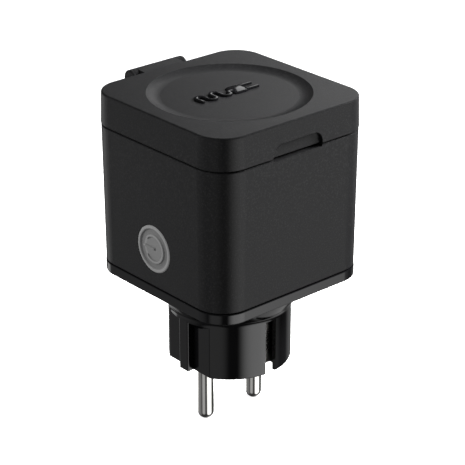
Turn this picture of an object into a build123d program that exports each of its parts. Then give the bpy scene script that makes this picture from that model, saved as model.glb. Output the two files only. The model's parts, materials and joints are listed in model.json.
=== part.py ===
from build123d import *

import math
import os

# Outdoor smart plug: a square housing with a round two-pin plug underneath, a socket under a
# hinged lid on top, and a push button on the -X side.
# Millimetres. The origin is the centre of the plug's engagement face, +Z points from the plug
# to the lid, the two pins stand along X, the lid opens from -Y and hinges at +Y.

os.makedirs("parts", exist_ok=True)

# ---- Driving dimensions ---------------------------------------------------------------------

# Housing
corner_r = 9.0            # vertical corners of the square housing
parting_z = 72.2          # top of the body, where the lid closes
parting_half = 28.37      # half the housing's width at the lid's parting line
seam_z = 30.3             # middle of the joint between body and base cover
seam_half = 28.07         # half the housing's width at that joint
base_z = 27.05            # underside of the base cover's band
wall = 2.2
edge_r = 0.3              # small radius on moulded edges

# Lid
lid_gap = 0.3             # open joint between lid and body
lid_top_z = 82.0
lid_top_half = 28.09
lid_edge_r = 0.5
lid_roof = 3.0
dish_rim_r = 23.4
dish_flat_r = 19.5
dish_depth = 1.0
notch_w = 18.0
notch_top_z = 76.2
notch_depth = 1.2
notch_corner_r = 3.0
notch_edge_r = 0.2
scoop_h = 0.5             # relief in the body's top edge under the finger notch
scoop_depth = 3.5

# Hinge
hinge_y = 32.5
hinge_z = 79.2
barrel_r = 2.6
barrel_half = 7.3
ear_inner_x = 7.45
ear_outer_x = 8.75
cap_inner_x = 8.9
cap_outer_x = 10.0
hinge_pin_r = 0.9
hinge_bore_r = 0.96
spring_room_r = 1.9
spring_room_half = 5.5

# Plug
head_r = 18.1
head_h = 17.0
head_edge_r = 0.4
neck_foot_r = 18.15       # where the neck starts, on top of the plug head
neck_round_r = 2.5        # hollow round between the neck's foot and its cone
neck_angle = 36.0         # the cone's angle from upright, in degrees
flat_x = 15.7
flat_edge_r = 0.8
rib_x = 17.9
rib_w = 3.9
rib_edge_r = 0.45
ledge_r = 15.0            # cone that closes the flats at the top
ledge_z = 13.25
slot_mouth_w = 3.9
slot_w = 9.0
slot_inner_y = 12.0
slot_lip_y = 16.5
spigot_r = 16.4
spigot_top_z = 20.0
pin_x = 9.5               # pins and socket holes are 19 mm apart
pin_r = 2.4
pin_length = 19.0
shank_r = 2.0
shank_top_z = 13.5

# Socket
well_r = 19.75
well_outer_r = 21.9
well_depth = 17.5
well_floor = 3.0
socket_hole_r = 2.75
ridge_x = 16.6
ridge_half_y = 9.0
ridge_groove_w = 5.0
opening_r = 22.1          # hole in the deck round the well
deck_t = 2.4
flange_half = 25.2
flange_r = 6.0
flange_t = 2.5
flange_gasket_t = 0.5

# Shutter
shutter_r = 13.0
shutter_z = 49.6
shutter_t = 1.8
shutter_turn = 35.0       # degrees from closed to open
shutter_cover = 17.0      # half angle that closes one socket hole
pivot_r = 2.4
pivot_bore_r = 2.48

# Push button
button_z = 42.0
button_r = 7.0
button_hole_r = 7.15
button_proud = 0.15
button_rim_r = 5.9
button_pad_r = 4.9
button_groove = 0.5       # depth of the ring round the pad
button_pad_depth = 0.3
button_back = 2.3
button_flange_r = 8.3
button_flange_t = 1.2
plunger_r = 1.6
symbol_r = 4.0
symbol_w = 0.8
symbol_gap = 38.0         # half angle of the opening in the symbol's ring
bar_length = 4.6

# Electronics
board_z = 33.0
board_t = 1.6
board_half = 24.3
board_cut = 16.8          # where the corner cuts start
board_notch_x = 3.7
board_notch_half = 8.5
blade_half_t = 0.4        # blades that stand on the board
blade_half_w = 1.5
blade_play = 0.05
relay_x = (-12.2, 8.2)
relay_y = (10.4, 20.6)
relay_top_z = 49.2
bobbin_x = (-11.5, 3.5)
bobbin_y = (-21.5, -9.5)
bobbin_h = 2.2
core_x = (-10.5, 2.5)
core_y = (-20.0, -11.0)
core_h = 10.0
winding_r = 5.4
winding_h = 6.6
capacitor_places = ((9.5, -14.0), (18.2, -10.5))
capacitor_r = 4.0
capacitor_h = 11.0
film_x = (11.0, 16.0)
film_y = (8.0, 20.5)
film_h = 10.5
varistor_x = (18.9, 22.1)
varistor_y = 9.5
varistor_r = 4.0
varistor_lift = 5.2
varistor_lead_r = 0.35
fuse_x = -17.5
fuse_y = 13.5
fuse_r = 1.6
fuse_length = 6.0
control_board_x = -17.6
control_board_t = 1.2
control_board_half = 10.0
control_board_top_z = 49.0
shield_t = 1.8
shield_half = 7.0
shield_z = (37.0, 48.0)
led_t = 0.8
led_y = (4.6, 6.2)
led_z = (44.0, 44.8)
switch_half = 3.0
switch_depth = 3.5
stem_r = 1.7
stem_out = 0.8
stem_in = 1.2

# Fasteners
cross_w = 0.6             # width of the cross in a screw head
case_screw_xy = 20.5
case_screw_r = 1.4
case_head_r = 2.6
case_head_h = 1.5
case_tip_z = 42.0
insert_screw_xy = 18.5
insert_screw_r = 1.1
insert_head_r = 2.1
insert_head_h = 1.4
board_screw_places = ((-18.0, -12.0), (18.5, 0.5))
board_screw_r = 0.85
board_screw_length = 7.6
board_head_r = 1.9
board_head_h = 1.4

# ---- Derived sizes --------------------------------------------------------------------------

neck_slope = math.tan(math.radians(neck_angle))
neck_cone_r = neck_foot_r + neck_round_r * (1 - math.cos(math.radians(neck_angle)))
neck_cone_z = head_h + neck_round_r * math.sin(math.radians(neck_angle))
neck_top_r = neck_cone_r + neck_slope * (base_z - neck_cone_z)
body_bottom_z = seam_z + 0.15
cover_top_z = seam_z - 0.1
body_draft = math.degrees(math.atan((parting_half - seam_half) / (parting_z - body_bottom_z)))
lid_bottom_z = parting_z + lid_gap
lid_draft = math.degrees(math.atan((parting_half - lid_top_half) / (lid_top_z - lid_bottom_z)))
inner_half = seam_half - wall
inner_r = corner_r - wall
deck_z = parting_z - deck_t
well_floor_z = parting_z - well_depth
well_base_z = well_floor_z - well_floor
flange_top_z = deck_z - flange_gasket_t
flange_z = flange_top_z - flange_t
board_top_z = board_z + board_t
button_face_x = -(seam_half + (button_z - seam_z) * (parting_half - seam_half) / (parting_z - seam_z))
quadrants = ((1, 1), (-1, 1), (-1, -1), (1, -1))


# ---- Helpers --------------------------------------------------------------------------------


def block(x0, x1, y0, y1, z0, z1, mode=Mode.ADD):
    """Adds (or cuts) a box between two corners, in the part being built."""
    with Locations(((x0 + x1) / 2, (y0 + y1) / 2, (z0 + z1) / 2)):
        Box(x1 - x0, y1 - y0, z1 - z0, mode=mode)


def rod(x, y, z0, z1, radius, mode=Mode.ADD):
    """Adds (or cuts) an upright cylinder, in the part being built."""
    with Locations((x, y, (z0 + z1) / 2)):
        Cylinder(radius, z1 - z0, mode=mode)


def rod_x(x0, x1, y, z, radius, mode=Mode.ADD):
    """Adds (or cuts) a cylinder that lies along X, in the part being built."""
    with Locations(((x0 + x1) / 2, y, z)):
        Cylinder(radius, x1 - x0, rotation=(0, 90, 0), mode=mode)


def plate(half, radius, z0, z1, mode=Mode.ADD):
    """Adds (or cuts) a square plate with rounded corners, in the part being built."""
    with BuildSketch(Plane.XY.offset(z0)) as outline:
        RectangleRounded(2 * half, 2 * half, radius)
    extrude(outline.sketch, amount=z1 - z0, mode=mode)


def cross(x, y, z0, z1, half_length):
    """Cuts the cross for a screwdriver, in the part being built."""
    half_w = cross_w / 2
    block(x - half_length, x + half_length, y - half_w, y + half_w, z0, z1, Mode.SUBTRACT)
    block(x - half_w, x + half_w, y - half_length, y + half_length, z0, z1, Mode.SUBTRACT)


def screw(x, y, z_head, head_r, head_h, z_tip, radius):
    """Adds a cross-head screw that points up, its head's underside at z_head."""
    rod(x, y, z_head, z_head + head_h, head_r)
    rod(x, y, z_head + head_h, z_tip, radius)
    cross(x, y, z_head, z_head + head_h / 2, head_r * 0.55)


def save(builder, name):
    """Labels a finished piece and writes its STEP file."""
    builder.part.label = name
    export_step(builder.part, f"parts/{name}.step")


# ---- Housing body ---------------------------------------------------------------------------

boss_r = 3.4
boss_top_z = 45.0
web_t = 2.4
web_length = 5.6
web_out = 2.8             # from a boss's centre to its web's middle
bracket_low_z = 62.5
bracket_y = hinge_y + barrel_r

with BuildPart() as body_shell:
    with BuildSketch(Plane.XY.offset(body_bottom_z)):
        RectangleRounded(2 * seam_half, 2 * seam_half, corner_r)
    extrude(amount=parting_z - body_bottom_z, taper=-body_draft)
    fillet(body_shell.edges().group_by(Axis.Z)[-1], edge_r)
    fillet(body_shell.edges().group_by(Axis.Z)[0], edge_r)

    # Hinge bracket on the back: a gusset with two ears
    with BuildSketch(Plane.YZ.offset(-ear_outer_x)):
        with BuildLine():
            Polyline(
                (seam_half - 0.6, bracket_low_z),
                (bracket_y, parting_z - 2.5),
                (bracket_y, parting_z - 0.4),
                (seam_half - 0.6, parting_z - 0.4),
                close=True,
            )
        make_face()
    extrude(amount=2 * ear_outer_x)
    for ear_x in (-ear_outer_x, ear_inner_x):
        with BuildSketch(Plane.YZ.offset(ear_x)):
            with Locations((hinge_y, hinge_z)):
                Circle(barrel_r)
            with Locations((hinge_y, (hinge_z + parting_z - 1.0) / 2)):
                Rectangle(2 * barrel_r, hinge_z - parting_z + 1.0)
        extrude(amount=ear_outer_x - ear_inner_x)
    rod_x(-cap_outer_x, cap_outer_x, hinge_y, hinge_z, hinge_bore_r, Mode.SUBTRACT)

    # Inside, the socket's opening in the deck, and the button's hole
    plate(inner_half, inner_r, body_bottom_z, deck_z, Mode.SUBTRACT)
    rod(0, 0, deck_z, parting_z, opening_r, Mode.SUBTRACT)
    rod_x(-parting_half - 1, -inner_half + 1, 0, button_z, button_hole_r, Mode.SUBTRACT)

    # Finger scoop under the lid's notch
    block(
        -notch_w / 2, notch_w / 2, -parting_half - 1, -parting_half + scoop_depth,
        parting_z - scoop_h, parting_z, Mode.SUBTRACT,
    )

    # Screw bosses in the four corners, each tied to its corner by a web
    for sx, sy in quadrants:
        x = sx * case_screw_xy
        y = sy * case_screw_xy
        rod(x, y, body_bottom_z + 0.3, boss_top_z, boss_r)
        middle = case_screw_xy + web_out
        with Locations(Location((sx * middle, sy * middle, (boss_top_z + board_z) / 2), (0, 0, 45 * sx * sy))):
            Box(web_length, web_t, boss_top_z - board_z)
        rod(x, y, body_bottom_z, boss_top_z - 2, case_screw_r + 0.05, Mode.SUBTRACT)

    # Blind holes in the deck for the socket's screws
    for sx, sy in quadrants:
        rod(
            sx * insert_screw_xy, sy * insert_screw_xy, deck_z, deck_z + 1.6,
            insert_screw_r + 0.05, Mode.SUBTRACT,
        )
save(body_shell, "body_shell")

# ---- Base cover: glossy band, underside and conical neck ------------------------------------

lip_outer = inner_half - 0.1
lip_t = 1.2
lip_top_z = 32.4
seal_inner = 26.4
seal_outer = 27.4
seal_depth = 0.8
neck_wall = 2.2
counterbore_r = 2.8
counterbore_h = 2.1
post_r = 2.4

with BuildPart() as base_cover:
    plate(seam_half + 0.08, corner_r, base_z, cover_top_z)
    fillet(base_cover.edges().group_by(Axis.Z)[0], edge_r)
    fillet(base_cover.edges().group_by(Axis.Z)[-1], edge_r)

    # Neck that flares from the plug head to the underside, hollow inside
    with BuildSketch(Plane.XZ):
        with BuildLine():
            foot = (neck_foot_r, head_h)
            hollow = TangentArc(foot, (neck_cone_r, neck_cone_z), tangent=(0, 1))
            Polyline(
                hollow @ 1,
                (neck_top_r, base_z),
                (neck_top_r, base_z + 0.5),
                (0, base_z + 0.5),
                (0, head_h),
                foot,
            )
        make_face()
    revolve(axis=Axis.Z)
    with BuildSketch(Plane.XZ):
        with BuildLine():
            Polyline(
                (0, head_h),
                (spigot_r + 0.1, head_h),
                (spigot_r + 0.1, spigot_top_z),
                (neck_top_r - neck_wall - neck_slope * (base_z - spigot_top_z), spigot_top_z),
                (neck_top_r - neck_wall, base_z),
                (neck_top_r - neck_wall, cover_top_z),
                (0, cover_top_z),
                close=True,
            )
        make_face()
    revolve(axis=Axis.Z, mode=Mode.SUBTRACT)

    # Locating lip inside the body, and the groove for the seal
    plate(lip_outer, inner_r - 0.1, cover_top_z, lip_top_z)
    plate(lip_outer - lip_t, inner_r - 0.1 - lip_t, cover_top_z, lip_top_z, Mode.SUBTRACT)
    with BuildSketch(Plane.XY.offset(cover_top_z - seal_depth)):
        RectangleRounded(2 * seal_outer, 2 * seal_outer, corner_r - 0.7)
        RectangleRounded(2 * seal_inner, 2 * seal_inner, corner_r - 1.7, mode=Mode.SUBTRACT)
    extrude(amount=seal_depth, mode=Mode.SUBTRACT)

    # Posts that carry the main board
    for x, y in board_screw_places:
        reach = math.hypot(x, y) + post_r
        post_low_z = neck_cone_z + (reach - neck_cone_r) / neck_slope + 0.6
        rod(x, y, post_low_z, board_z, post_r)
        rod(x, y, board_z - 7.0, board_z, board_screw_r + 0.05, Mode.SUBTRACT)

    # Counterbored holes for the case screws
    for sx, sy in quadrants:
        x = sx * case_screw_xy
        y = sy * case_screw_xy
        rod(x, y, base_z, base_z + counterbore_h, counterbore_r, Mode.SUBTRACT)
        rod(x, y, base_z, cover_top_z, case_screw_r + 0.15, Mode.SUBTRACT)
save(base_cover, "base_cover")

with BuildPart() as body_gasket:
    with BuildSketch(Plane.XY.offset(cover_top_z - seal_depth + 0.02)):
        RectangleRounded(2 * seal_outer - 0.1, 2 * seal_outer - 0.1, corner_r - 0.75)
        RectangleRounded(2 * seal_inner + 0.1, 2 * seal_inner + 0.1, corner_r - 1.65, mode=Mode.SUBTRACT)
    extrude(amount=body_bottom_z - 0.02 - (cover_top_z - seal_depth + 0.02))
save(body_gasket, "body_gasket")

with BuildPart() as case_screws:
    for sx, sy in quadrants:
        screw(
            sx * case_screw_xy, sy * case_screw_xy, base_z + counterbore_h - case_head_h - 0.1,
            case_head_r, case_head_h, case_tip_z, case_screw_r,
        )
save(case_screws, "case_screws")

# ---- Plug -----------------------------------------------------------------------------------

strip_y = 14.6
strip_t = 0.8
strip_half = 3.0
strip_low_z = 2.0
pocket_x = 12.2
pocket_y = 9.0
pocket_z = 12.0

with BuildPart() as plug_head:
    # Round head with a flat on each side, and a rib down the middle of each flat
    with BuildSketch(Plane.XY) as outline:
        Circle(head_r)
        with Locations((flat_x + 5, 0), (-flat_x - 5, 0)):
            Rectangle(10, 40, mode=Mode.SUBTRACT)
        Rectangle(2 * rib_x, rib_w)
        fillet([v for v in outline.vertices() if abs(v.Y) > rib_w], flat_edge_r)
        fillet([v for v in outline.vertices() if abs(v.X) > flat_x + 1], rib_edge_r)
    extrude(amount=head_h)
    fillet(plug_head.edges().group_by(Axis.Z)[0], head_edge_r)

    # Cone that closes the flats just below the neck
    with BuildSketch(Plane.XZ):
        with BuildLine():
            Polyline(
                (0, ledge_z),
                (ledge_r, ledge_z),
                (head_r, ledge_z + head_r - ledge_r),
                (head_r, head_h),
                (0, head_h),
                close=True,
            )
        make_face()
    revolve(axis=Axis.Z)

    # Slots for the earth clips, narrow at the mouth and wider behind it
    with BuildSketch(Plane.XY):
        with Locations((0, slot_lip_y + 2), (0, -slot_lip_y - 2)):
            Rectangle(slot_mouth_w, 5)
        with Locations((0, (slot_lip_y + slot_inner_y) / 2), (0, -(slot_lip_y + slot_inner_y) / 2)):
            Rectangle(slot_w, slot_lip_y - slot_inner_y)
    extrude(amount=head_h, mode=Mode.SUBTRACT)

    # Spigot inside the neck, with a pocket over the pins
    rod(0, 0, head_h, spigot_top_z, spigot_r)
    block(-pocket_x, pocket_x, -pocket_y, pocket_y, pocket_z, spigot_top_z, Mode.SUBTRACT)
    for side in (-1, 1):
        rod(side * pin_x, 0, 0, pocket_z, shank_r + 0.03, Mode.SUBTRACT)
        slot_y = side * (strip_y + strip_t / 2)
        block(
            -strip_half - 0.1, strip_half + 0.1, slot_y - strip_t / 2 - 0.1, slot_y + strip_t / 2 + 0.1,
            head_h, spigot_top_z, Mode.SUBTRACT,
        )
save(plug_head, "plug_head")


def pin(x):
    """Builds one solid round pin with a domed tip and a thinner shank inside the head."""
    with BuildPart() as piece:
        with BuildSketch(Plane(origin=(x, 0, 0), x_dir=(1, 0, 0), z_dir=(0, -1, 0))):
            with BuildLine():
                tip = (0, -pin_length)
                shoulder = (pin_r, -pin_length + pin_r)
                diagonal = pin_r * math.sqrt(0.5)
                ThreePointArc(tip, (diagonal, -pin_length + pin_r - diagonal), shoulder)
                Polyline(shoulder, (pin_r, 0), (shank_r, 0), (shank_r, shank_top_z), (0, shank_top_z), tip)
            make_face()
        revolve(axis=Axis((x, 0, 0), (0, 0, 1)))
    return piece


save(pin(-pin_x), "line_pin")
save(pin(pin_x), "neutral_pin")

tab_y = 8.0
bracket_z = spigot_top_z + 0.2

with BuildPart() as plug_earth_bracket:
    strip_outer = strip_y + strip_t
    block(-strip_half, strip_half, -strip_outer, strip_outer, bracket_z, bracket_z + strip_t)
    block(-strip_half, strip_half, strip_y, strip_outer, strip_low_z, bracket_z)
    block(-strip_half, strip_half, -strip_outer, -strip_y, strip_low_z, bracket_z)
    block(-blade_half_w, blade_half_w, tab_y, tab_y + strip_t, bracket_z, board_top_z + 0.6)
save(plug_earth_bracket, "plug_earth_bracket")

for side, name in ((-1, "line_busbar"), (1, "neutral_busbar")):
    with BuildPart() as busbar:
        block(
            side * pin_x - blade_half_t, side * pin_x + blade_half_t, -blade_half_w, blade_half_w,
            shank_top_z, board_top_z + 0.2,
        )
    save(busbar, name)

# ---- Socket ---------------------------------------------------------------------------------

clip_slot_low_z = 55.4
clip_slot_high_z = 66.4
clip_half = 2.6
stake_y = 8.4
stake_r = 1.6
block_top_z = 48.9

with BuildPart() as socket_insert:
    rod(0, 0, well_base_z, parting_z, well_outer_r)
    plate(flange_half, flange_r, flange_z, flange_top_z)
    rod(0, 0, well_floor_z, parting_z, well_r, Mode.SUBTRACT)

    # Ridges that guide the plug, each with a groove for the plug's rib
    with BuildSketch(Plane.XY.offset(well_floor_z)):
        Circle(well_r + 0.5)
        Rectangle(2 * ridge_x, 60, mode=Mode.SUBTRACT)
        Rectangle(60, 2 * ridge_half_y, mode=Mode.INTERSECT)
        Rectangle(60, ridge_groove_w, mode=Mode.SUBTRACT)
    extrude(amount=well_depth - 1.0)

    # Slots for the earth clips, pin holes, and the shutter's pivot
    for side in (-1, 1):
        y_far = side * (well_outer_r + 1)
        y_near = side * (well_r - 1.5)
        block(
            -clip_half - 0.3, clip_half + 0.3, min(y_far, y_near), max(y_far, y_near),
            clip_slot_low_z, clip_slot_high_z, Mode.SUBTRACT,
        )
        rod(side * pin_x, 0, well_base_z, well_floor_z, socket_hole_r, Mode.SUBTRACT)
        rod(0, side * stake_y, block_top_z, well_base_z, stake_r)
    rod(0, 0, shutter_z - 0.6, well_base_z, pivot_r)

    # Holes for the screws that hold the socket to the deck
    for sx, sy in quadrants:
        rod(
            sx * insert_screw_xy, sy * insert_screw_xy, flange_z, flange_top_z,
            insert_screw_r + 0.1, Mode.SUBTRACT,
        )
save(socket_insert, "socket_insert")

with BuildPart() as socket_gasket:
    with BuildSketch(Plane.XY.offset(flange_top_z)):
        RectangleRounded(2 * flange_half - 0.4, 2 * flange_half - 0.4, flange_r - 0.2)
        Circle(well_outer_r + 0.1, mode=Mode.SUBTRACT)
        with GridLocations(2 * insert_screw_xy, 2 * insert_screw_xy, 2, 2):
            Circle(insert_screw_r + 0.2, mode=Mode.SUBTRACT)
    extrude(amount=flange_gasket_t)
save(socket_gasket, "socket_gasket")

with BuildPart() as insert_screws:
    for sx, sy in quadrants:
        screw(
            sx * insert_screw_xy, sy * insert_screw_xy, flange_z - insert_head_h,
            insert_head_r, insert_head_h, deck_z + 1.5, insert_screw_r,
        )
save(insert_screws, "insert_screws")

clip_r = well_outer_r + 0.1
clip_t = 0.8
clip_low_z = 56.0
clip_band_top_z = 60.0
clip_finger_z = 64.0
clip_tongue_y = 17.6

with BuildPart() as socket_earth_clip:
    # Band around the +X half of the well
    with BuildSketch(Plane.XY.offset(clip_low_z)):
        Circle(clip_r + clip_t)
        Circle(clip_r, mode=Mode.SUBTRACT)
        with Locations((-30 + strip_half, 0)):
            Rectangle(60, 60, mode=Mode.SUBTRACT)
    extrude(amount=clip_band_top_z - clip_low_z)
    for side in (-1, 1):
        # Upright on the outside, a bend through the slot, and a tongue inside the well
        y0 = side * clip_r
        y1 = side * (clip_r + clip_t)
        block(-clip_half, strip_half + 1, min(y0, y1), max(y0, y1), clip_low_z, clip_finger_z + clip_t)
        y_in = side * clip_tongue_y
        block(-clip_half, clip_half, min(y_in, y0), max(y_in, y0), clip_finger_z, clip_finger_z + clip_t)
        y_tongue = side * (clip_tongue_y + clip_t)
        block(-clip_half, clip_half, min(y_in, y_tongue), max(y_in, y_tongue), clip_low_z, clip_finger_z)
    # Leg down to the main board
    block(clip_r, clip_r + clip_t, -blade_half_w, blade_half_w, board_z, clip_low_z + 1)
save(socket_earth_clip, "socket_earth_clip")

block_half_x = 13.6
block_half_y = 5.5
block_z = board_top_z + 0.3
sleeve_r = 3.3
sleeve_bore_r = 2.45
sleeve_slit_w = 0.7
sleeve_z = 36.2
sleeve_top_z = 48.4
sleeve_leg_x = pin_x + sleeve_r - blade_half_t
stake_foot_x = 2.2
stake_foot_y = stake_y + 1.8
stake_foot_t = 1.5

with BuildPart() as contact_block:
    block(-block_half_x, block_half_x, -block_half_y, block_half_y, block_z, block_top_z)
    block(-stake_foot_x, stake_foot_x, -stake_foot_y, stake_foot_y, block_top_z - stake_foot_t, block_top_z)
    for side in (-1, 1):
        rod(side * pin_x, 0, block_z + 0.7, block_top_z, sleeve_r + 0.1, Mode.SUBTRACT)
        leg_x = side * sleeve_leg_x
        block(
            leg_x - blade_half_t - 0.1, leg_x + blade_half_t + 0.1, -blade_half_w - 0.1, blade_half_w + 0.1,
            block_z, sleeve_z + 1.1, Mode.SUBTRACT,
        )
save(contact_block, "contact_block")

for side, name in ((-1, "line_contact"), (1, "neutral_contact")):
    with BuildPart() as contact:
        rod(side * pin_x, 0, sleeve_z, sleeve_top_z, sleeve_r)
        leg_x = side * sleeve_leg_x
        block(
            leg_x - blade_half_t, leg_x + blade_half_t, -blade_half_w, blade_half_w,
            board_z + 0.2, sleeve_z + 1,
        )
        rod(side * pin_x, 0, sleeve_z, sleeve_top_z, sleeve_bore_r, Mode.SUBTRACT)
        slit_x = side * (pin_x - sleeve_r)
        block(
            slit_x - 1.2, slit_x + 1.2, -sleeve_slit_w / 2, sleeve_slit_w / 2,
            sleeve_z + 2, sleeve_top_z, Mode.SUBTRACT,
        )
    save(contact, name)

recess_r = 4.6
recess_depth = 0.8
hub_wall = 0.6
spring_wire_r = 0.25
spring_coil_r = 3.8

with BuildPart() as shutter:
    with BuildSketch(Plane.XY.offset(shutter_z)):
        Circle(recess_r + 0.8)
        for side in (0, 180):
            start = side - shutter_turn - shutter_cover
            sweep_angle = shutter_turn + 2 * shutter_cover
            with BuildLine():
                PolarLine((0, 0), shutter_r, start)
                rim = CenterArc((0, 0), shutter_r, start, sweep_angle)
                Line(rim @ 1, (0, 0))
            make_face()
        with PolarLocations(pin_x, 2, start_angle=-shutter_turn):
            Circle(socket_hole_r + 0.15, mode=Mode.SUBTRACT)
        Circle(pivot_bore_r, mode=Mode.SUBTRACT)
    extrude(amount=shutter_t)
    with BuildSketch(Plane.XY.offset(shutter_z + shutter_t - recess_depth)):
        Circle(recess_r)
        Circle(pivot_bore_r + hub_wall, mode=Mode.SUBTRACT)
    extrude(amount=recess_depth, mode=Mode.SUBTRACT)
save(shutter, "shutter")

with BuildPart() as shutter_spring:
    with BuildLine(Plane.XY.offset(shutter_z + shutter_t - recess_depth / 2)) as coil:
        CenterArc((0, 0), spring_coil_r, 20, 320)
    with BuildSketch(Plane(origin=coil.line @ 0, z_dir=coil.line % 0)):
        Circle(spring_wire_r)
    sweep(path=coil.line)
save(shutter_spring, "shutter_spring")

# ---- Electronics ----------------------------------------------------------------------------

with BuildPart() as main_board:
    plate(board_half, inner_r - 1.0, board_z, board_top_z)
    # Corners cut away round the screw bosses
    for sx, sy in quadrants:
        x0, x1 = sorted((sx * board_cut, sx * parting_half))
        y0, y1 = sorted((sy * board_cut, sy * parting_half))
        block(x0, x1, y0, y1, board_z, board_top_z, Mode.SUBTRACT)
    # Room for the button's frame at the -X edge
    block(
        -board_half - 1, -inner_half + board_notch_x, -board_notch_half, board_notch_half,
        board_z, board_top_z, Mode.SUBTRACT,
    )
    # Screw holes, and slots for the blades that are soldered in
    for x, y in board_screw_places:
        rod(x, y, board_z, board_top_z, board_screw_r + 0.2, Mode.SUBTRACT)
    slot_half_t = blade_half_t + blade_play
    slot_half_w = blade_half_w + blade_play
    for x in (-sleeve_leg_x, -pin_x, pin_x, sleeve_leg_x):
        block(x - slot_half_t, x + slot_half_t, -slot_half_w, slot_half_w, board_z, board_top_z, Mode.SUBTRACT)
    block(
        -slot_half_w, slot_half_w, tab_y - blade_play, tab_y + strip_t + blade_play,
        board_z, board_top_z, Mode.SUBTRACT,
    )
    block(
        clip_r - blade_play, clip_r + clip_t + blade_play, -slot_half_w, slot_half_w,
        board_z, board_top_z, Mode.SUBTRACT,
    )
save(main_board, "main_board")

with BuildPart() as board_screws:
    for x, y in board_screw_places:
        head_top_z = board_top_z + board_head_h
        rod(x, y, board_top_z - board_screw_length, board_top_z, board_screw_r)
        rod(x, y, board_top_z, head_top_z, board_head_r)
        cross(x, y, head_top_z - cross_w, head_top_z, board_head_r * 0.63)
save(board_screws, "board_screws")

with BuildPart() as relay:
    block(*relay_x, *relay_y, board_top_z, relay_top_z)
    fillet(relay.edges().filter_by(Axis.Z), 0.6)
    chamfer(relay.faces().sort_by(Axis.Z)[-1].edges(), 0.5)
save(relay, "relay")

with BuildPart() as transformer:
    # Ferrite core around a taped winding, on a pinned bobbin
    core_z = board_top_z + bobbin_h
    block(*bobbin_x, *bobbin_y, board_top_z, core_z)
    block(*core_x, *core_y, core_z, core_z + core_h)
    with Locations((sum(core_x) / 2, sum(core_y) / 2, core_z + core_h / 2)):
        Cylinder(winding_r, winding_h)
    fillet(transformer.edges().filter_by(Axis.Z), 0.4)
save(transformer, "transformer")

with BuildPart() as electrolytic_capacitors:
    for x, y in capacitor_places:
        with BuildSketch(Plane.XY.offset(board_top_z)):
            with Locations((x, y)):
                Circle(capacitor_r)
        extrude(amount=capacitor_h)
    fillet(electrolytic_capacitors.edges().filter_by(GeomType.CIRCLE), 0.6)
save(electrolytic_capacitors, "electrolytic_capacitors")

with BuildPart() as film_capacitor:
    block(*film_x, *film_y, board_top_z, board_top_z + film_h)
    fillet(film_capacitor.edges(), 0.5)
save(film_capacitor, "film_capacitor")

with BuildPart() as varistor:
    rod_x(*varistor_x, varistor_y, board_top_z + varistor_lift, varistor_r)
    fillet(varistor.edges(), 1.0)
    for y in (varistor_y - 2.5, varistor_y + 2.5):
        rod(sum(varistor_x) / 2, y, board_top_z, board_top_z + varistor_lift - 2, varistor_lead_r)
save(varistor, "varistor")

with BuildPart() as fuse_resistor:
    with Locations((fuse_x, fuse_y, board_top_z + fuse_r + 0.4)):
        Cylinder(fuse_r, fuse_length, rotation=(90, 0, 0))
    fillet(fuse_resistor.edges(), 0.5)
save(fuse_resistor, "fuse_resistor")

board_x1 = control_board_x + control_board_t
with BuildPart() as control_board:
    block(
        control_board_x, board_x1, -control_board_half, control_board_half,
        board_top_z, control_board_top_z,
    )
save(control_board, "control_board")

with BuildPart() as radio_shield:
    block(board_x1, board_x1 + shield_t, -shield_half, shield_half, *shield_z)
    fillet(radio_shield.faces().sort_by(Axis.X)[-1].edges(), 0.3)
save(radio_shield, "radio_shield")

with BuildPart() as status_led:
    block(control_board_x - led_t, control_board_x, *led_y, *led_z)
save(status_led, "status_led")

switch_x = control_board_x - switch_depth
with BuildPart() as tact_switch_body:
    block(
        switch_x, control_board_x, -switch_half, switch_half,
        button_z - switch_half, button_z + switch_half,
    )
    rod_x(switch_x, switch_x + 2.0, 0, button_z, stem_r + 0.08, Mode.SUBTRACT)
save(tact_switch_body, "tact_switch_body")

with BuildPart() as tact_stem:
    rod_x(switch_x - stem_out, switch_x + stem_in, 0, button_z, stem_r)
save(tact_stem, "tact_stem")

# ---- Push button ----------------------------------------------------------------------------

flange_x = button_face_x + button_back + 0.35
plunger_x = switch_x - stem_out - 0.05
button_top_x = button_face_x - button_proud

with BuildPart() as power_button:
    # Turned shape: raised rim, lower ring, flat pad, flange and plunger
    with BuildSketch(Plane.XY.offset(button_z)):
        with BuildLine():
            Polyline(
                (plunger_x, 0),
                (button_top_x + button_pad_depth, 0),
                (button_top_x + button_pad_depth, button_pad_r),
                (button_top_x + button_groove, button_pad_r + 0.1),
                (button_top_x + button_groove, button_rim_r - 0.1),
                (button_top_x, button_rim_r + 0.1),
                (button_top_x, button_r - 0.25),
                (button_top_x + 0.25, button_r),
                (flange_x, button_r),
                (flange_x, button_flange_r),
                (flange_x + button_flange_t, button_flange_r),
                (flange_x + button_flange_t, plunger_r),
                (plunger_x, plunger_r),
                close=True,
            )
        make_face()
    revolve(axis=Axis((0, 0, button_z), (1, 0, 0)))

    # Raised power symbol on the pad: an open ring and a bar that points to +Y
    with BuildSketch(Plane.YZ.offset(button_top_x)):
        with Locations((0, button_z)):
            Circle(symbol_r + symbol_w / 2)
            Circle(symbol_r - symbol_w / 2, mode=Mode.SUBTRACT)
        with BuildLine():
            reach = button_pad_r * 1.3
            opening_y = reach * math.cos(math.radians(symbol_gap))
            opening_z = reach * math.sin(math.radians(symbol_gap))
            Polyline(
                (0, button_z),
                (opening_y, button_z - opening_z),
                (opening_y, button_z + opening_z),
                close=True,
            )
        make_face(mode=Mode.SUBTRACT)
        with Locations((bar_length / 2, button_z)):
            RectangleRounded(bar_length, symbol_w, symbol_w * 0.45)
    extrude(amount=button_groove)
save(power_button, "power_button")

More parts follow.
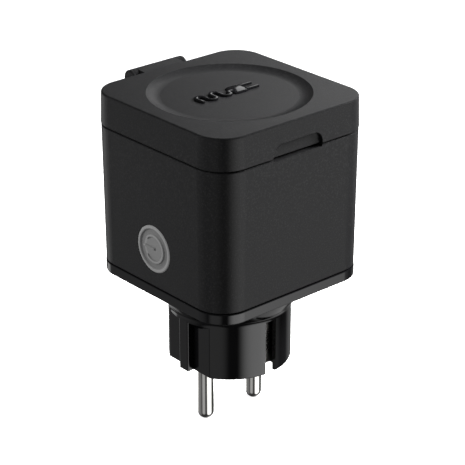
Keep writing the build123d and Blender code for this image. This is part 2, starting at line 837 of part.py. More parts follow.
frame_x = -inner_half
frame_r = 9.6
frame_depth = 3.4
frame_floor = 0.8
frame_window_r = 3.0
with BuildPart() as button_frame:
    rod_x(frame_x, frame_x + frame_depth, 0, button_z, frame_r)
    rod_x(
        frame_x, frame_x + frame_depth - frame_floor, 0, button_z,
        button_flange_r + 0.3, Mode.SUBTRACT,
    )
    rod_x(frame_x, frame_x + frame_depth, 0, button_z, frame_window_r, Mode.SUBTRACT)
save(button_frame, "button_frame")

# ---- Hinge ----------------------------------------------------------------------------------

with BuildPart() as hinge_pin:
    rod_x(-cap_inner_x - 0.5, cap_inner_x + 0.5, hinge_y, hinge_z, hinge_pin_r)
save(hinge_pin, "hinge_pin")

with BuildPart() as hinge_caps:
    for side in (-1, 1):
        x0, x1 = sorted((side * cap_inner_x, side * cap_outer_x))
        rod_x(x0, x1, hinge_y, hinge_z, barrel_r)
    fillet(hinge_caps.edges().filter_by(GeomType.CIRCLE).group_by(Axis.X)[0], 0.5)
    fillet(hinge_caps.edges().filter_by(GeomType.CIRCLE).group_by(Axis.X)[-1], 0.5)
    rod_x(
        -cap_inner_x - 0.55, cap_inner_x + 0.55, hinge_y, hinge_z,
        hinge_pin_r + 0.02, Mode.SUBTRACT,
    )
save(hinge_caps, "hinge_caps")

hinge_coil_r = 1.45
hinge_wire_r = 0.25
hinge_coil_pitch = 1.25
hinge_coil_length = 8.75
with BuildPart() as hinge_spring:
    with BuildLine() as hinge_coil:
        Helix(
            hinge_coil_pitch, hinge_coil_length, hinge_coil_r,
            center=(-hinge_coil_length / 2, hinge_y, hinge_z), direction=(1, 0, 0),
        )
    with BuildSketch(Plane(origin=hinge_coil.line @ 0, z_dir=hinge_coil.line % 0)):
        Circle(hinge_wire_r)
    sweep(path=hinge_coil.line, is_frenet=True)
save(hinge_spring, "hinge_spring")

# ---- Lid ------------------------------------------------------------------------------------

liner_z = 74.7
liner_t = 1.6
lid_inner_half = parting_half - wall - 0.2
lid_inner_r = inner_r
lid_post_xy = 18.0
lid_post_r = 2.0
lid_seal_inner_r = 22.4
lid_seal_outer_r = 24.4
lid_seal_groove = 0.7

with BuildPart() as lid_shell:
    with BuildSketch(Plane.XY.offset(lid_bottom_z)):
        RectangleRounded(2 * parting_half, 2 * parting_half, corner_r)
    extrude(amount=lid_top_z - lid_bottom_z, taper=lid_draft)
    fillet(lid_shell.edges().group_by(Axis.Z)[-1], lid_edge_r)
    fillet(lid_shell.edges().group_by(Axis.Z)[0], edge_r)

    # Hinge barrel with its arm
    rod_x(-barrel_half, barrel_half, hinge_y, hinge_z, barrel_r)
    with BuildSketch(Plane.YZ.offset(-barrel_half)):
        with BuildLine():
            Polyline(
                (lid_top_half - 1.2, hinge_z - barrel_r + 0.3),
                (hinge_y, hinge_z - barrel_r),
                (hinge_y, hinge_z + barrel_r),
                (lid_top_half - 1.2, hinge_z + barrel_r - 0.4),
                close=True,
            )
        make_face()
    extrude(amount=2 * barrel_half)
    rod_x(-barrel_half, barrel_half, hinge_y, hinge_z, hinge_pin_r + 0.08, Mode.SUBTRACT)
    rod_x(-spring_room_half, spring_room_half, hinge_y, hinge_z, spring_room_r, Mode.SUBTRACT)

    # Dished top: a crisp rim and a slope that runs out into the flat middle
    with BuildSketch(Plane.XZ):
        with BuildLine():
            slope = TangentArc(
                (dish_flat_r, lid_top_z - dish_depth), (dish_rim_r, lid_top_z), tangent=(1, 0)
            )
            Polyline(
                slope @ 1,
                (dish_rim_r, lid_top_z + 1),
                (0, lid_top_z + 1),
                (0, lid_top_z - dish_depth),
                slope @ 0,
            )
        make_face()
    revolve(axis=Axis.Z, mode=Mode.SUBTRACT)

    # Finger notch in the front, and the hollow inside
    notch_h = 2 * (notch_top_z - lid_bottom_z) + 6
    with BuildSketch(Plane.XZ.offset(parting_half - notch_depth)):
        with Locations((0, notch_top_z - notch_h / 2)):
            RectangleRounded(notch_w, notch_h, notch_corner_r)
    extrude(amount=5, mode=Mode.SUBTRACT)
    notch_edges = [
        edge for edge in lid_shell.edges()
        if edge.center().Y < -lid_top_half and abs(edge.center().X) < notch_w / 2 + 0.1
        and lid_bottom_z + edge_r < edge.center().Z < notch_top_z + 0.1
    ]
    fillet(notch_edges, notch_edge_r)
    plate(lid_inner_half, lid_inner_r, lid_bottom_z, lid_top_z - lid_roof, Mode.SUBTRACT)
    for sx, sy in quadrants:
        rod(
            sx * lid_post_xy, sy * lid_post_xy, liner_z + liner_t, lid_top_z - lid_roof,
            lid_post_r,
        )
save(lid_shell, "lid_shell")

with BuildPart() as lid_liner:
    plate(lid_inner_half - 0.1, lid_inner_r - 0.1, liner_z, liner_z + liner_t)
    with BuildSketch(Plane.XY.offset(liner_z)):
        Circle(lid_seal_outer_r)
        Circle(lid_seal_inner_r, mode=Mode.SUBTRACT)
    extrude(amount=lid_seal_groove, mode=Mode.SUBTRACT)
save(lid_liner, "lid_liner")

with BuildPart() as lid_gasket:
    with BuildSketch(Plane.XY.offset(parting_z + 0.15)):
        Circle(lid_seal_outer_r - 0.05)
        Circle(lid_seal_inner_r + 0.05, mode=Mode.SUBTRACT)
    extrude(amount=liner_z + lid_seal_groove - 0.02 - (parting_z + 0.15))
save(lid_gasket, "lid_gasket")

# Plain pictogram of a plug on a winding cord, raised from the middle of the lid
badge_z = lid_top_z - dish_depth
badge_t = 0.55
badge_y = 1.6
badge_stroke = 1.3
badge_start_x = -9.8
badge_pitch = 2.6
badge_bends = (1, -1, 1)  # each bend of the cord: +1 towards the hinge, -1 towards the notch
badge_straight = 0.8
badge_body = 5.6
badge_body_r = 2.0
badge_body_x = 4.0
badge_prong = 4.6
badge_prong_x = 8.6
badge_prong_y = 1.6

with BuildPart() as lid_badge:
    with BuildSketch(Plane.XY.offset(badge_z)):
        with BuildLine():
            x = badge_start_x
            Line((x, badge_y - 2 * badge_straight), (x, badge_y + badge_straight))
            for bend in badge_bends:
                y = badge_y + bend * badge_straight
                crest = (x + badge_pitch / 2, y + bend * badge_pitch / 2)
                ThreePointArc((x, y), crest, (x + badge_pitch, y))
                x += badge_pitch
                Line((x, y), (x, badge_y - bend * badge_straight))
            # Last bend, towards the plug
            turn_r = badge_pitch / 2
            y = badge_y - badge_bends[-1] * badge_straight
            low = (x + turn_r, y - turn_r)
            ThreePointArc((x, y), low, (x + 2 * turn_r, y))
            Line((x + 2 * turn_r, y), (x + 2 * turn_r, badge_y))
        trace(line_width=badge_stroke)
        with Locations((badge_body_x, badge_y)):
            RectangleRounded(badge_body, badge_body, badge_body_r)
        for side in (-1, 1):
            with Locations((badge_prong_x, badge_y + side * badge_prong_y)):
                RectangleRounded(badge_prong, badge_stroke, badge_stroke * 0.45)
    extrude(amount=badge_t)
save(lid_badge, "lid_badge")
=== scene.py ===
import json
import math

import bmesh
import bpy
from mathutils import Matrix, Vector


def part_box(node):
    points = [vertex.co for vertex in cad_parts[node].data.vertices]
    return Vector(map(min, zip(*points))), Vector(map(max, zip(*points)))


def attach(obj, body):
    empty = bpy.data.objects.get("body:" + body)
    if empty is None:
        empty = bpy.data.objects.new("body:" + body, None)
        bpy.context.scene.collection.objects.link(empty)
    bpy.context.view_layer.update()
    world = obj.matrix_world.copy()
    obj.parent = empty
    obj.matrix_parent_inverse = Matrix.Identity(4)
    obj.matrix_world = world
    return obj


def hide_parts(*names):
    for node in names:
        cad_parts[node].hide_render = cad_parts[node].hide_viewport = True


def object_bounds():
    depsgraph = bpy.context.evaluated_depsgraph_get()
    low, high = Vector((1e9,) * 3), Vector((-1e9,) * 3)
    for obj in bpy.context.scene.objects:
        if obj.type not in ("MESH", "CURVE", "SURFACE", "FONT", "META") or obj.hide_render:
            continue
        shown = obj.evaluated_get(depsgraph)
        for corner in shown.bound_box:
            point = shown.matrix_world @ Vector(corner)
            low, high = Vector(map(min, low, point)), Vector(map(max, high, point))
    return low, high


# Looks for the outdoor smart plug: a material for every CAD node, finer meshes for the push
# button and the lid's pictogram, a white studio and the camera. Lengths are in metres. Sizes
# given in millimetres are multiplied by MM where they are used.

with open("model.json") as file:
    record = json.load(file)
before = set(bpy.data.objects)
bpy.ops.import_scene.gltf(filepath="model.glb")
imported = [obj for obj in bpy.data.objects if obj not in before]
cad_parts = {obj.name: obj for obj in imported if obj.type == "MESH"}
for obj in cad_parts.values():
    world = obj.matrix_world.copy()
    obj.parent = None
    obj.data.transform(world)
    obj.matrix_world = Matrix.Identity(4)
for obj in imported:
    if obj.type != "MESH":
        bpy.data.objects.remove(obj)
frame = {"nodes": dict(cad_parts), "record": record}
cad_low, cad_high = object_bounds()

MM = 0.001


# ---- Camera, floor and light ------------------------------------------------------------------

CAMERA_PLACE = Vector((-0.316651, -0.362402, 0.258621))
CAMERA_BACK = Vector((-0.5996, -0.6839, 0.4157))       # from the object towards the camera
CAMERA_LENS = 141.8
SENSOR_WIDTH = 36.0

FLOOR_HALF = 4.0
FLOOR_COLOUR = (0.93, 0.93, 0.93, 1)
FLOOR_ROUGHNESS = 0.9
FLOOR_GLOSS = 0.1
FLOOR_GLOW = 0.7          # lifts the paper to white, so that only faint shadows show

# Soft boxes for reflections: azimuth, elevation, inner and outer half angle, strength
SOFT_BOXES = (
    (55, -22, 5, 38, 3.1),
    (84, -20, 8, 26, 0.25),
    (-28, -24, 8, 26, 0.5),
    (-97, -24, 10, 40, 0.22),
    (-130, -22, 9, 15, 1.2),
    (150, -18, 10, 22, 0.25),
    (-172, -32, 10, 20, 0.3),
    (142, -58, 16, 24, 0.5),
    (169.6, 20, 9.8, 10.2, 1.8),
    (0, 88, 8, 26, 0.25),
)
SURROUND = 0.05
DOME = 0.3                # even light for matt surfaces
BACKDROP = 1.1            # what the camera sees behind the object

# Area lights: name, place, the point they look at, size and power
AREA_LIGHTS = (
    ("key_right", (0.20, -0.08, 0.19), (0, 0, 0.08), 0.12, 3.4),
    ("fill_left", (-0.45, 0.22, 0.16), (-0.02, 0, 0.06), 0.30, 2.4),
)


def make_camera():
    data = bpy.data.cameras.new("camera")
    data.lens = CAMERA_LENS
    data.sensor_width = SENSOR_WIDTH
    camera = bpy.data.objects.new("camera", data)
    camera.location = CAMERA_PLACE
    camera.rotation_mode = "QUATERNION"
    camera.rotation_quaternion = CAMERA_BACK.to_track_quat("Z", "Y")
    bpy.context.collection.objects.link(camera)
    bpy.context.scene.camera = camera


def make_floor():
    """A wide white floor that the pins stand on. It is left out of reflections, and clear from
    below, so that the underside can be looked at."""
    mesh = bpy.data.meshes.new("floor")
    corners = [(x * FLOOR_HALF, y * FLOOR_HALF, 0) for x, y in ((-1, -1), (1, -1), (1, 1), (-1, 1))]
    mesh.from_pydata(corners, [], [(0, 1, 2, 3)])
    floor = bpy.data.objects.new("floor", mesh)
    floor.location.z = cad_low[2]
    floor.visible_glossy = False
    floor.visible_diffuse = False
    bpy.context.collection.objects.link(floor)
    material = bpy.data.materials.new("floor_paper")
    material.use_nodes = True
    tree = material.node_tree
    shader = tree.nodes["Principled BSDF"]
    shader.inputs["Base Color"].default_value = FLOOR_COLOUR
    shader.inputs["Roughness"].default_value = FLOOR_ROUGHNESS
    shader.inputs["Specular IOR Level"].default_value = FLOOR_GLOSS
    shader.inputs["Emission Color"].default_value = (1, 1, 1, 1)
    shader.inputs["Emission Strength"].default_value = FLOOR_GLOW
    clear = tree.nodes.new("ShaderNodeBsdfTransparent")
    side = tree.nodes.new("ShaderNodeMixShader")
    tree.links.new(tree.nodes.new("ShaderNodeNewGeometry").outputs["Backfacing"], side.inputs["Fac"])
    tree.links.new(shader.outputs["BSDF"], side.inputs[1])
    tree.links.new(clear.outputs["BSDF"], side.inputs[2])
    tree.links.new(side.outputs["Shader"], tree.nodes["Material Output"].inputs["Surface"])
    mesh.materials.append(material)


def direction(azimuth, elevation):
    """Unit vector: azimuth in degrees, from the camera's side towards its right, and elevation
    above level."""
    away = Vector((CAMERA_BACK.x, CAMERA_BACK.y, 0)).normalized()
    side = Vector((-away.y, away.x, 0))
    turn = math.radians(azimuth)
    tilt = math.radians(elevation)
    level = away * math.cos(turn) + side * math.sin(turn)
    return level * math.cos(tilt) + Vector((0, 0, math.sin(tilt)))


def add_value(tree, first, second):
    """Adds two values: the second is a socket or a number. Returns the sum's socket."""
    add = tree.nodes.new("ShaderNodeMath")
    tree.links.new(first, add.inputs[0])
    if isinstance(second, float):
        add.inputs[1].default_value = second
    else:
        tree.links.new(second, add.inputs[1])
    return add.outputs["Value"]


def soft_box(tree, coordinates, azimuth, elevation, inner, outer, strength):
    """How bright one round soft box is, in the direction looked at."""
    dot = tree.nodes.new("ShaderNodeVectorMath")
    dot.operation = "DOT_PRODUCT"
    dot.inputs[1].default_value = direction(azimuth, elevation)
    tree.links.new(coordinates.outputs["Generated"], dot.inputs[0])
    box = tree.nodes.new("ShaderNodeMapRange")
    box.interpolation_type = "SMOOTHSTEP"
    box.inputs["From Min"].default_value = math.cos(math.radians(outer))
    box.inputs["From Max"].default_value = math.cos(math.radians(inner))
    box.inputs["To Max"].default_value = strength
    tree.links.new(dot.outputs["Value"], box.inputs["Value"])
    return box.outputs["Result"]


def switch_by_ray(tree, path, ray, other, chosen):
    """Uses one shader for one kind of ray, and another shader for every other kind."""
    switch = tree.nodes.new("ShaderNodeMixShader")
    tree.links.new(path.outputs[ray], switch.inputs["Fac"])
    tree.links.new(other, switch.inputs[1])
    tree.links.new(chosen, switch.inputs[2])
    return switch.outputs["Shader"]


def make_world():
    """White for the camera, an even dome for matt surfaces, and soft boxes for reflections."""
    world = bpy.data.worlds.new("studio")
    world.use_nodes = True
    tree = world.node_tree
    tree.nodes.clear()
    coordinates = tree.nodes.new("ShaderNodeTexCoord")
    total = soft_box(tree, coordinates, *SOFT_BOXES[0])
    for box in SOFT_BOXES[1:]:
        total = add_value(tree, total, soft_box(tree, coordinates, *box))
    boxes = tree.nodes.new("ShaderNodeBackground")
    tree.links.new(add_value(tree, total, SURROUND), boxes.inputs["Strength"])
    dome = tree.nodes.new("ShaderNodeBackground")
    dome.inputs["Strength"].default_value = DOME
    white = tree.nodes.new("ShaderNodeBackground")
    white.inputs["Color"].default_value = (1, 1, 1, 1)
    white.inputs["Strength"].default_value = BACKDROP
    path = tree.nodes.new("ShaderNodeLightPath")
    light = switch_by_ray(
        tree, path, "Is Diffuse Ray", boxes.outputs["Background"], dome.outputs["Background"])
    light = switch_by_ray(tree, path, "Is Camera Ray", light, white.outputs["Background"])
    output = tree.nodes.new("ShaderNodeOutputWorld")
    tree.links.new(light, output.inputs["Surface"])
    bpy.context.scene.world = world


def make_light(name, place, target, size, power):
    """A square area light that looks at a point and stays out of reflections."""
    data = bpy.data.lights.new(name, "AREA")
    data.shape = "SQUARE"
    data.size = size
    data.energy = power
    light = bpy.data.objects.new(name, data)
    light.location = place
    light.rotation_mode = "QUATERNION"
    light.rotation_quaternion = (Vector(place) - Vector(target)).to_track_quat("Z", "Y")
    light.visible_glossy = False
    bpy.context.collection.objects.link(light)


make_camera()
make_floor()
make_world()
for area_light in AREA_LIGHTS:
    make_light(*area_light)
bpy.context.scene.view_settings.view_transform = "Standard"


# ---- Materials --------------------------------------------------------------------------------

CLOUD_LOW = 0.3           # part of the noise's range that the variation is spread over
CLOUD_HIGH = 0.7
CLOUD_DETAIL = 5.0
GRAIN_DETAIL = 3.0
TOPS_LOW = 0.5            # part of the grain's height that counts as its tops
TOPS_HIGH = 0.72


def add_noise(tree, place, size, detail):
    """Noise whose patches are about so many millimetres across."""
    noise = tree.nodes.new("ShaderNodeTexNoise")
    noise.inputs["Scale"].default_value = 1.0 / (size * MM)
    noise.inputs["Detail"].default_value = detail
    tree.links.new(place, noise.inputs["Vector"])
    return noise.outputs["Fac"]


def add_range(tree, value, from_low, from_high, to_low, to_high):
    """Maps a value from one range to another."""
    node = tree.nodes.new("ShaderNodeMapRange")
    node.inputs["From Min"].default_value = from_low
    node.inputs["From Max"].default_value = from_high
    node.inputs["To Min"].default_value = to_low
    node.inputs["To Max"].default_value = to_high
    tree.links.new(value, node.inputs["Value"])
    return node.outputs["Result"]


def finish_material(name, colour, roughness, metallic=0.0, shade=0.12, spread=0.06, patch=60.0,
                    grain=0.0, grain_size=0.3, speckle=0.0, gloss=0.5):
    """A procedural finish. shade: how much the colour varies, spread: how much the roughness
    varies, patch: size of the variation in mm, grain: bump height in mm, grain_size in mm,
    speckle: how much lighter the tops of the grain are."""
    material = bpy.data.materials.new(name)
    material.use_nodes = True
    tree = material.node_tree
    shader = tree.nodes["Principled BSDF"]
    shader.inputs["Metallic"].default_value = metallic
    shader.inputs["Specular IOR Level"].default_value = gloss
    place = tree.nodes.new("ShaderNodeTexCoord").outputs["Object"]

    clouds = add_noise(tree, place, patch, CLOUD_DETAIL)
    ramp = tree.nodes.new("ShaderNodeValToRGB")
    darker, lighter = ramp.color_ramp.elements
    darker.position = CLOUD_LOW
    darker.color = [c * (1 - shade) for c in colour] + [1]
    lighter.position = CLOUD_HIGH
    lighter.color = [min(1, c * (1 + shade)) for c in colour] + [1]
    tree.links.new(clouds, ramp.inputs["Fac"])
    paint = ramp.outputs["Color"]

    if grain:
        pits = add_noise(tree, place, grain_size, GRAIN_DETAIL)
        bump = tree.nodes.new("ShaderNodeBump")
        bump.inputs["Strength"].default_value = 1.0
        bump.inputs["Distance"].default_value = grain * MM
        tree.links.new(pits, bump.inputs["Height"])
        tree.links.new(bump.outputs["Normal"], shader.inputs["Normal"])
        if speckle:
            tops = tree.nodes.new("ShaderNodeMix")
            tops.data_type = "RGBA"
            tops.blend_type = "ADD"
            tops.inputs["B"].default_value = (1, 1, 1, 1)
            height = add_range(tree, pits, TOPS_LOW, TOPS_HIGH, 0.0, speckle)
            tree.links.new(height, tops.inputs["Factor"])
            tree.links.new(paint, tops.inputs["A"])
            paint = tops.outputs["Result"]
    tree.links.new(paint, shader.inputs["Base Color"])

    matt = add_range(tree, clouds, CLOUD_LOW, CLOUD_HIGH, roughness - spread, roughness + spread)
    tree.links.new(matt, shader.inputs["Roughness"])
    return material


# For each material slot: name, colour, roughness and whatever differs from the plain finish
FINISHES = {
    "housing": ("housing_plastic", (0.011, 0.011, 0.0115), 0.4, dict(
        shade=0.1, spread=0.03, grain=0.02, grain_size=0.42, speckle=0.012, gloss=0.21)),
    "gloss_black": ("gloss_plastic", (0.004, 0.004, 0.0045), 0.09, dict(
        spread=0.03, patch=30, grain=0.001, grain_size=1.5)),
    "seal": ("seal_rubber", (0.012, 0.012, 0.012), 0.62, dict(grain=0.01, grain_size=0.25)),
    "pin_metal": ("pin_nickel", (0.74, 0.73, 0.71), 0.13, dict(
        metallic=1.0, shade=0.05, spread=0.04, patch=6, grain=0.001, grain_size=0.3)),
    "spring_steel": ("strip_steel", (0.62, 0.61, 0.58), 0.27, dict(
        metallic=1.0, patch=4, grain=0.002, grain_size=0.12)),
    "copper_alloy": ("strip_brass", (0.78, 0.56, 0.25), 0.28, dict(
        metallic=1.0, patch=5, grain=0.002, grain_size=0.15)),
    "screw_steel": ("zinc_steel", (0.5, 0.5, 0.49), 0.33, dict(
        metallic=1.0, patch=2, grain=0.004, grain_size=0.15)),
    "inner_plastic": ("inner_plastic", (0.02, 0.02, 0.021), 0.45, dict(grain=0.008, grain_size=0.3)),
    "circuit_board": ("circuit_board", (0.01, 0.09, 0.03), 0.3, dict(
        shade=0.35, patch=2, grain=0.01, grain_size=0.8)),
    "relay_case": ("relay_case", (0.01, 0.01, 0.012), 0.3, dict(grain=0.004, grain_size=0.4)),
    "transformer": ("ferrite_and_tape", (0.05, 0.045, 0.04), 0.55, dict(grain=0.02, grain_size=0.5)),
    "capacitor_sleeve": ("shrink_sleeve", (0.01, 0.014, 0.05), 0.25, dict(grain=0.004, grain_size=0.8)),
    "film_capacitor": ("film_capacitor", (0.55, 0.4, 0.03), 0.35, dict(grain=0.006, grain_size=0.5)),
    "varistor": ("varistor_epoxy", (0.02, 0.08, 0.3), 0.4, dict(grain=0.03, grain_size=1.2)),
    "fuse_resistor": ("resistor_lacquer", (0.08, 0.2, 0.12), 0.4, dict(grain=0.02, grain_size=0.9)),
    "tinned_can": ("tinned_can", (0.66, 0.66, 0.64), 0.24, dict(
        metallic=1.0, patch=3, grain=0.003, grain_size=0.4)),
    "stem_plastic": ("stem_plastic", (0.3, 0.02, 0.015), 0.4, dict(grain=0.004, grain_size=0.3)),
    "led": ("led_lens", (0.8, 0.8, 0.72), 0.2, dict(grain=0.002, grain_size=0.3)),
    "silicone": ("silicone", (0.27, 0.27, 0.27), 0.42, dict(grain=0.004, grain_size=0.3)),
}
MATERIALS = {
    slot: finish_material(name, colour, roughness, **options)
    for slot, (name, colour, roughness, options) in FINISHES.items()
}

BUTTON_Z = 42.0
BUTTON_R = 7.0

# Painted light and shade on the silicone button: lighter on the power symbol's ring and on the rim,
# darker in the low band round the pad. Each pair: distance from the button's axis as a share of its
# radius, and how light the colour is painted there
SILICONE_PAINTED_LIGHT = (
    (0.0, 0.62), (0.5, 0.6), (0.56, 0.8), (0.6, 0.8), (0.66, 0.5), (0.8, 0.5), (0.87, 0.82), (1.0, 0.9),
)


def paint_light_on_silicone(material):
    """Paints light and shade into a material's colour: multiplies it by the painted shade for the
    distance from the button's axis.
    """
    tree = material.node_tree
    colour = tree.nodes["Principled BSDF"].inputs["Base Color"]
    place = tree.nodes.new("ShaderNodeTexCoord").outputs["Object"]
    across = tree.nodes.new("ShaderNodeVectorMath")
    across.operation = "MULTIPLY_ADD"
    across.inputs[1].default_value = (0, 1, 1)
    across.inputs[2].default_value = (0, 0, -BUTTON_Z * MM)
    tree.links.new(place, across.inputs[0])
    radius = tree.nodes.new("ShaderNodeVectorMath")
    radius.operation = "LENGTH"
    tree.links.new(across.outputs["Vector"], radius.inputs[0])
    ramp = tree.nodes.new("ShaderNodeValToRGB")
    ramp.color_ramp.interpolation = "EASE"
    while len(ramp.color_ramp.elements) < len(SILICONE_PAINTED_LIGHT):
        ramp.color_ramp.elements.new(0.5)
    for element, (position, light) in zip(ramp.color_ramp.elements, SILICONE_PAINTED_LIGHT):
        element.position = position
        element.color = (light, light, light, 1)
    share = add_range(tree, radius.outputs["Value"], 0.0, BUTTON_R * MM, 0.0, 1.0)
    tree.links.new(share, ramp.inputs["Fac"])
    # painted light and shade of the button's relief, multiplied into the silicone's colour
    painted_relief_light = tree.nodes.new("ShaderNodeMix")
    painted_relief_light.data_type = "RGBA"
    painted_relief_light.blend_type = "MULTIPLY"
    painted_relief_light.inputs["Factor"].default_value = 1.0
    tree.links.new(colour.links[0].from_socket, painted_relief_light.inputs["A"])
    tree.links.new(ramp.outputs["Color"], painted_relief_light.inputs["B"])
    tree.links.new(painted_relief_light.outputs["Result"], colour)


# paints light and shade onto the silicone button's colour
paint_light_on_silicone(MATERIALS["silicone"])

for part in frame["record"]["subparts"]:
    obj = frame["nodes"][part["node"]]
    obj.data.materials.clear()
    obj.data.materials.append(MATERIALS[part["material_slot"]])


# ---- Pieces in finer mesh ---------------------------------------------------------------------

MERGE_DISTANCE = 1e-7


def make_piece(name, work, body, node, slot):
    """Turns a bmesh into a smooth piece that stands for a CAD node and rides on a body."""
    mesh = bpy.data.meshes.new(name)
    bmesh.ops.remove_doubles(work, verts=work.verts, dist=MERGE_DISTANCE)
    bmesh.ops.recalc_face_normals(work, faces=work.faces)
    for face in work.faces:
        face.smooth = True
    work.to_mesh(mesh)
    work.free()
    piece = bpy.data.objects.new(name, mesh)
    bpy.context.collection.objects.link(piece)
    mesh.materials.append(MATERIALS[slot])
    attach(piece, body)
    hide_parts(node)


def add_rings(work, rings):
    """Joins rings of points into a skin, each ring a closed loop of the same length."""
    rows = [[work.verts.new(point) for point in ring] for ring in rings]
    for below, above in zip(rows, rows[1:]):
        for i in range(len(below)):
            j = (i + 1) % len(below)
            work.faces.new((below[i], below[j], above[j], above[i]))
    return rows


def add_closed_rings(work, rings):
    """The same, with a face over the first ring and one over the last."""
    rows = add_rings(work, rings)
    work.faces.new(rows[0][::-1])
    work.faces.new(rows[-1])


def circle_turns(around):
    """Evenly spaced angles for one turn, in radians."""
    return [2 * math.pi * k / around for k in range(around)]


def squared(value, power):
    """Sine or cosine pushed outwards, for a circle that is nearer a square."""
    return math.copysign(abs(value) ** power, value)


# Pictogram: a plug on a winding cord. Millimetres from its middle, in the lid's plane.
BADGE_Y = 1.6
BADGE_MIDDLE = 0.06       # height of the strokes' middle above the dish
STROKE_HALF = 0.65
STROKE_HEIGHT = 0.47
STROKE_AROUND = 24
STROKE_SQUARE = (0.55, 0.5)                   # sideways and upwards: below 1 is flatter on top
STROKE_END = (80, 64, 48, 32, 16, 0)          # degrees along the round end of a stroke
CORD_START = [(-9.8, -1.6), (-9.8, -0.4)]
CORD_BENDS = (                                # centre, radius, start and end angle, steps
    (-8.5, 0.8, 1.3, 180, 0, 14),
    (-5.9, -0.8, 1.3, -180, 0, 14),
    (-3.3, 0.8, 1.3, 180, 0, 14),
    (-0.7, -0.8, 1.3, -180, -20, 14),
    (1.2, -0.6, 0.6, 180, 90, 8),
)
CORD_END = [(2.0, 0.0)]
PRONG_Y = 1.6
PRONG_X = (6.2, 7.6, 9.0, 10.3)
PLUG_X = 4.0
PLUG_HALF = 2.8
PLUG_HEIGHT = 0.48
PLUG_SHOULDER = 0.7
PLUG_AROUND = 72
PLUG_SQUARE = 0.5
PLUG_ROOT = 0.4           # how far it reaches down, as a share of its height
PLUG_SIDE = 0.85          # height at the shoulder's inner edge, as a share
PLUG_CROWN_STEPS = 8
PLUG_CROWN_REACH = 0.98


def arc(centre_x, centre_y, radius, start, end, steps):
    """Points on a circle from one angle to another, in degrees."""
    turns = [math.radians(start + (end - start) * k / steps) for k in range(steps + 1)]
    return [(centre_x + radius * math.cos(turn), centre_y + radius * math.sin(turn)) for turn in turns]


def stroke_end(point, outwards, lean):
    """A point on a stroke's round end, and how wide the stroke is there."""
    lean = math.radians(lean)
    return point + outwards.normalized() * STROKE_HALF * MM * math.sin(lean), math.cos(lean)


def add_stroke(work, line):
    """A raised stroke with a flat-topped round section and domed ends, along level points."""
    path = [stroke_end(line[0], line[0] - line[1], lean) for lean in STROKE_END]
    path += [(point, 1.0) for point in line[1:-1]]
    path += [stroke_end(line[-1], line[-1] - line[-2], lean) for lean in reversed(STROKE_END)]
    rings = []
    for i, (centre, scale) in enumerate(path):
        before = path[max(0, i - 1)][0]
        after = path[min(len(path) - 1, i + 1)][0]
        along = (after - before).normalized()
        across = Vector((-along.y, along.x, 0)) * STROKE_HALF * MM * scale
        upwards = Vector((0, 0, STROKE_HEIGHT * MM * scale ** 0.5))
        rings.append([
            centre + across * squared(math.cos(turn), STROKE_SQUARE[0])
            + upwards * squared(math.sin(turn), STROKE_SQUARE[1])
            for turn in circle_turns(STROKE_AROUND)
        ])
    add_closed_rings(work, rings)


def add_plug_body(work, centre):
    """A squarish shape with a rounded shoulder and a slight crown."""
    steps = [(0.0, -PLUG_ROOT)]
    for degrees in range(0, 91, 10):
        turn = math.radians(degrees)
        steps.append((PLUG_SHOULDER * (1 - math.cos(turn)), PLUG_SIDE * math.sin(turn)))
    for k in range(1, PLUG_CROWN_STEPS + 1):
        share = k / PLUG_CROWN_STEPS
        inset = PLUG_SHOULDER + (PLUG_HALF - PLUG_SHOULDER) * share * PLUG_CROWN_REACH
        steps.append((inset, PLUG_SIDE + (1 - PLUG_SIDE) * math.sin(math.pi / 2 * share)))
    add_closed_rings(work, [
        [
            centre + MM * Vector((
                (PLUG_HALF - inset) * squared(math.cos(turn), PLUG_SQUARE),
                (PLUG_HALF - inset) * squared(math.sin(turn), PLUG_SQUARE),
                PLUG_HEIGHT * up,
            ))
            for turn in circle_turns(PLUG_AROUND)
        ]
        for inset, up in steps
    ])


def make_badge():
    """The pictogram on the lid, in one level raised stroke."""
    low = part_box("lid_badge")[0]
    middle = Vector((0, BADGE_Y * MM, low[2] + BADGE_MIDDLE * MM))
    cord = CORD_START + [point for bend in CORD_BENDS for point in arc(*bend)] + CORD_END
    work = bmesh.new()
    add_stroke(work, [middle + Vector((x, y, 0)) * MM for x, y in cord])
    for side in (-1, 1):
        add_stroke(work, [middle + Vector((x, side * PRONG_Y, 0)) * MM for x in PRONG_X])
    add_plug_body(work, middle + Vector((PLUG_X, 0, 0)) * MM)
    make_piece("lid_pictogram", work, "lid", "lid_badge", "gloss_black")


# Push button: depths below its rim and distances from its axis, in mm. An edge is a pair: where
# a step starts and where it ends.
FACE_AROUND = 240
FACE_RINGS = 100
GROOVE_DEPTH = 0.6
GROOVE_EDGE = (5.6, 6.15)
PAD_RISE = 0.1
PAD_EDGE = (4.75, 5.1)
SYMBOL_RISE = 0.5
RING_R = 3.95
RING_EDGE = (0.2, 0.62)
RING_GAP = (34, 44)       # degrees to each side of +Y where the ring is open
BAR_LENGTH = 4.3
BAR_EDGE = (0.15, 0.6)
ROUND_DEPTH = 0.22
ROUND_EDGE = (6.55, 7.0)
SIDE_DEPTH = 0.35         # where the side starts, below the rounded edge
FLANGE_DEPTH = 2.8
FLANGE_T = 1.2
FLANGE_ROUND = 0.2
FLANGE_BEVEL = 0.15
SIDE_PLAY = 0.02
PLUNGER_R = 1.6
PLUNGER_ROUND = 0.1
PLUNGER_ROOT = (1.9, 0.2)                     # radius at the flange, and the cone's height


def blend(edge, value):
    """0 before the edge, 1 after it, and a smooth step between."""
    low, high = edge
    t = min(1.0, max(0.0, (value - low) / (high - low)))
    return t * t * (3 - 2 * t)


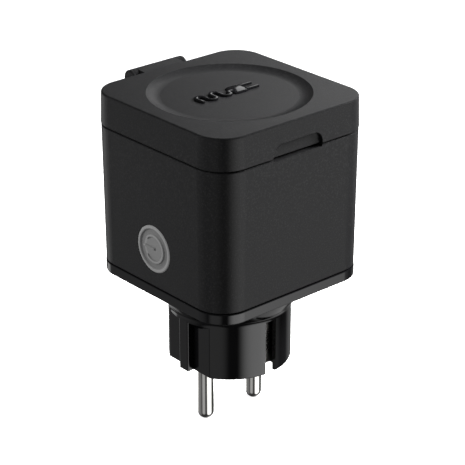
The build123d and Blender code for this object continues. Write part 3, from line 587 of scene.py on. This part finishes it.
def button_relief(radius, turn):
    """How far the button's face lies below its rim, in mm, at a point on it."""
    y = radius * math.cos(turn)
    z = radius * math.sin(turn)
    depth = GROOVE_DEPTH * (1 - blend(GROOVE_EDGE, radius))
    depth -= PAD_RISE * (1 - blend(PAD_EDGE, radius))
    ring = 1 - blend(RING_EDGE, abs(radius - RING_R))
    ring *= blend([math.radians(degrees) for degrees in RING_GAP], abs(turn))
    bar = 1 - blend(BAR_EDGE, math.hypot(max(0.0, -y, y - BAR_LENGTH), z))
    depth -= SYMBOL_RISE * max(ring, bar)
    return depth + ROUND_DEPTH * blend(ROUND_EDGE, radius) ** 2


def make_button():
    """The soft push button: a lathe shape whose face carries the ring and bar of a power symbol."""
    low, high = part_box("power_button")
    middle_z = (low[2] + high[2]) / 2
    length = (high[0] - low[0]) / MM
    flange_r = (high[1] - low[1]) / 2 / MM
    flange_back = FLANGE_DEPTH + FLANGE_T
    root_r, root_length = PLUNGER_ROOT

    def point(depth, radius, turn):
        return Vector((
            low[0] + depth * MM,
            radius * MM * math.cos(turn),
            middle_z + radius * MM * math.sin(turn),
        ))

    # The face, as rings with its relief. Angles run from -180 to 180 degrees.
    rings = []
    for i in range(1, FACE_RINGS + 1):
        radius = BUTTON_R * i / FACE_RINGS
        rings.append([
            point(button_relief(radius, turn if turn <= math.pi else turn - 2 * math.pi), radius, turn)
            for turn in circle_turns(FACE_AROUND)
        ])

    # The side, the flange and the plunger
    for depth, radius in (
        (SIDE_DEPTH, BUTTON_R),
        (FLANGE_DEPTH, BUTTON_R),
        (FLANGE_DEPTH, BUTTON_R + SIDE_PLAY),
        (FLANGE_DEPTH, flange_r - FLANGE_ROUND),
        (FLANGE_DEPTH + FLANGE_BEVEL, flange_r),
        (flange_back - FLANGE_BEVEL, flange_r),
        (flange_back, flange_r - FLANGE_ROUND),
        (flange_back, root_r),
        (flange_back + root_length, PLUNGER_R),
        (length - PLUNGER_ROUND, PLUNGER_R),
        (length, PLUNGER_R - PLUNGER_ROUND),
    ):
        rings.append([point(depth, radius, turn) for turn in circle_turns(FACE_AROUND)])
    work = bmesh.new()
    rows = add_rings(work, rings)
    middle = work.verts.new(point(button_relief(0, 0), 0, 0))
    for k in range(FACE_AROUND):
        work.faces.new((middle, rows[0][(k + 1) % FACE_AROUND], rows[0][k]))
    work.faces.new(rows[-1])
    make_piece("button_skin", work, "button", "power_button", "silicone")


make_badge()
make_button()
